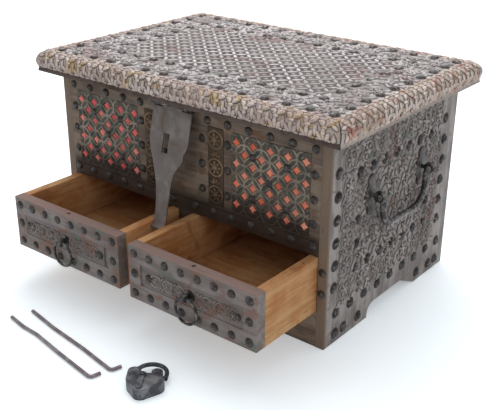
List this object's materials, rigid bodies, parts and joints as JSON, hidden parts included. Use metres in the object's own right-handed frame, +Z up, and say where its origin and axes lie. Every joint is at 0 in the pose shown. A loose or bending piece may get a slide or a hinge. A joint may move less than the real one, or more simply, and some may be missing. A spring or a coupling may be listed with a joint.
{
  "type": "dowry chest",
  "caption": "Nail-studded wooden dowry chest on bracket feet, with a hinged lid, a hasp and staple, two drawers with ring pulls, bail handles, a padlock and drawer rods.",
  "frame": {"origin": "centre of the carcass footprint, on the floor", "axes": "+X to the right as seen from the front, -Y out of the front, +Z up"},
  "size_m": [0.626, 0.6746, 0.3775],
  "materials": {
    "carcass_wood": "aged, waxed",
    "lid_wood": "aged, carved, waxed",
    "drawer_wood": "bare, rubbed",
    "drawer_front_wood": "aged, carved, waxed",
    "lattice_wood": "aged, carved",
    "backing_cloth": "plain woven, faded",
    "iron": "forged, dark, worn",
    "steel": "forged, dull"
  },
  "bodies": {
    "carcass": {"side_board_left": "carcass_wood", "side_board_right": "carcass_wood", "front_board": "carcass_wood", "back_board": "carcass_wood", "front_apron": "carcass_wood", "drawer_case_floor": "carcass_wood", "drawer_divider": "carcass_wood", "chest_floor": "carcass_wood", "lattice_left": "lattice_wood", "lattice_right": "lattice_wood", "lattice_backings": "backing_cloth", "carved_strips": "carcass_wood", "nails_front": "iron", "nails_side_left": "iron", "nails_side_right": "iron", "hasp_staple": "iron", "handle_plates": "iron", "handle_eyes": "iron", "hinge_leaves_lower": "iron", "hinge_pins": "steel"},
    "lid": {"lid_plank_front": "lid_wood", "lid_plank_back": "lid_wood", "lid_moulding_front": "lid_wood", "lid_moulding_back": "lid_wood", "lid_moulding_left": "lid_wood", "lid_moulding_right": "lid_wood", "nails_lid": "iron", "hinge_leaves_upper": "iron", "hasp_hinge_leaf": "iron", "hasp_hinge_pin": "steel"},
    "hasp": {"hasp": "iron"},
    "bail_left": {"bail_left": "iron"},
    "bail_right": {"bail_right": "iron"},
    "padlock": {"padlock_body": "iron", "padlock_rivets": "steel"},
    "padlock_shackle": {"padlock_shackle": "iron"},
    "padlock_cover": {"padlock_cover": "iron"},
    "drawer_rod_left": {"drawer_rod_left": "steel"},
    "drawer_rod_right": {"drawer_rod_right": "steel"},
    "drawer_left": {"drawer_left_front": "drawer_front_wood", "drawer_left_frieze": "drawer_front_wood", "drawer_left_side_inner": "drawer_wood", "drawer_left_side_outer": "drawer_wood", "drawer_left_back": "drawer_wood", "drawer_left_bottom": "drawer_wood", "drawer_left_nails": "iron", "drawer_left_ring_eye": "iron"},
    "ring_left": {"drawer_left_ring": "iron"},
    "drawer_right": {"drawer_right_front": "drawer_front_wood", "drawer_right_frieze": "drawer_front_wood", "drawer_right_side_inner": "drawer_wood", "drawer_right_side_outer": "drawer_wood", "drawer_right_back": "drawer_wood", "drawer_right_bottom": "drawer_wood", "drawer_right_nails": "iron", "drawer_right_ring_eye": "iron"},
    "ring_right": {"drawer_right_ring": "iron"}
  },
  "joints": [
    {"name": "lid_hinge", "type": "hinge", "parent": "carcass", "child": "lid", "pos_m": [0, 0.197, 0.334], "axis": [-1, 0, 0], "range_deg": [0, 105]},
    {"name": "hasp_hinge", "type": "hinge", "parent": "lid", "child": "hasp", "pos_m": [-0.006, -0.203, 0.3341], "axis": [-1, 0, 0], "range_deg": [-14, 66]},
    {"name": "drawer_left_slide", "type": "slide", "parent": "carcass", "child": "drawer_left", "axis": [0, -1, 0], "range_m": [-0.1375, 0.11]},
    {"name": "drawer_right_slide", "type": "slide", "parent": "carcass", "child": "drawer_right", "axis": [0, -1, 0], "range_m": [-0.1435, 0.11]},
    {"name": "ring_left_swing", "type": "hinge", "parent": "drawer_left", "child": "ring_left", "pos_m": [-0.13875, -0.3357, 0.1061], "axis": [-1, 0, 0], "range_deg": [0, 120]},
    {"name": "ring_right_swing", "type": "hinge", "parent": "drawer_right", "child": "ring_right", "pos_m": [0.13875, -0.3417, 0.1061], "axis": [-1, 0, 0], "range_deg": [0, 120]},
    {"name": "bail_left_swing", "type": "hinge", "parent": "carcass", "child": "bail_left", "pos_m": [-0.297, -0.002, 0.222], "axis": [0, 1, 0], "range_deg": [0, 105]},
    {"name": "bail_right_swing", "type": "hinge", "parent": "carcass", "child": "bail_right", "pos_m": [0.297, -0.002, 0.222], "axis": [0, -1, 0], "range_deg": [0, 105]},
    {"name": "padlock_lift", "type": "slide", "parent": "carcass", "child": "padlock", "axis": [0, 0, 1], "range_m": [0, 0.035]},
    {"name": "padlock_shackle_pivot", "type": "hinge", "parent": "padlock", "child": "padlock_shackle", "pos_m": [0.11372, -0.42532, 0.009], "axis": [0, 0, 1], "range_deg": [0, 70]},
    {"name": "padlock_cover_pivot", "type": "hinge", "parent": "padlock", "child": "padlock_cover", "pos_m": [0.13092, -0.42587, 0.0193], "axis": [0, 0, 1], "range_deg": [0, 80]},
    {"name": "drawer_rod_left_lift", "type": "slide", "parent": "carcass", "child": "drawer_rod_left", "axis": [0, 0, 1], "range_m": [0, 0.04]},
    {"name": "drawer_rod_right_lift", "type": "slide", "parent": "carcass", "child": "drawer_rod_right", "axis": [0, 0, 1], "range_m": [0, 0.04]}
  ]
}
